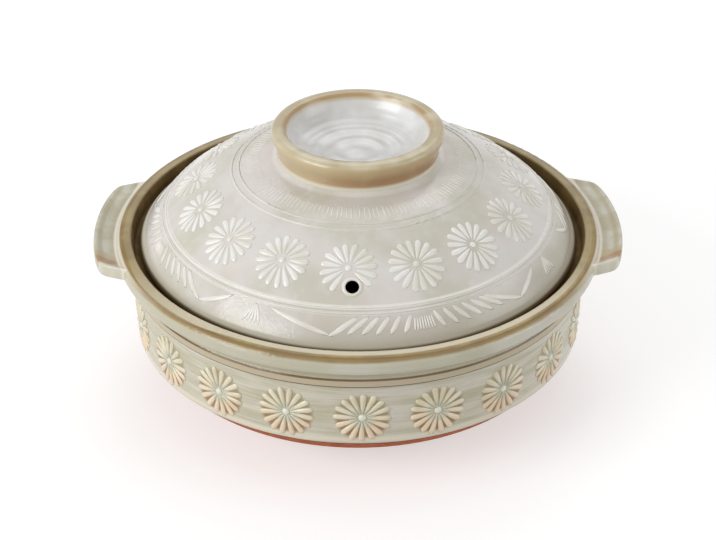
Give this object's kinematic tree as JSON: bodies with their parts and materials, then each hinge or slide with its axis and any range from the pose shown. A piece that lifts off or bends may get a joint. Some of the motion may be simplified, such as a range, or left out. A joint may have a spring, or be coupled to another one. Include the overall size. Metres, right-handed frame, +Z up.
{
  "type": "donabe clay pot",
  "caption": "Lidded clay cooking pot with lug handles, a domed lid with a ring knob and a steam hole, and moulded daisy relief.",
  "frame": {"origin": "centre of the flat base, on the surface that the pot stands on", "axes": "+Z up the axis of the pot, +X through the right handle, -Y towards the viewer and the steam hole"},
  "size_m": [0.2888, 0.2644, 0.1545],
  "materials": {
    "pot_glaze": "gloss",
    "lid_glaze": "gloss",
    "knob_glaze": "gloss"
  },
  "bodies": {
    "pot": {"pot_wall": "pot_glaze", "pot_bowl": "pot_glaze", "pot_floor": "pot_glaze", "handle_left": "pot_glaze", "handle_right": "pot_glaze"},
    "lid": {"lid_dome": "lid_glaze", "lid_knob": "knob_glaze"}
  },
  "joints": [
    {"name": "lid_lift", "type": "slide", "parent": "pot", "child": "lid", "axis": [0, 0, 1], "range_m": [0, 0.12]}
  ]
}
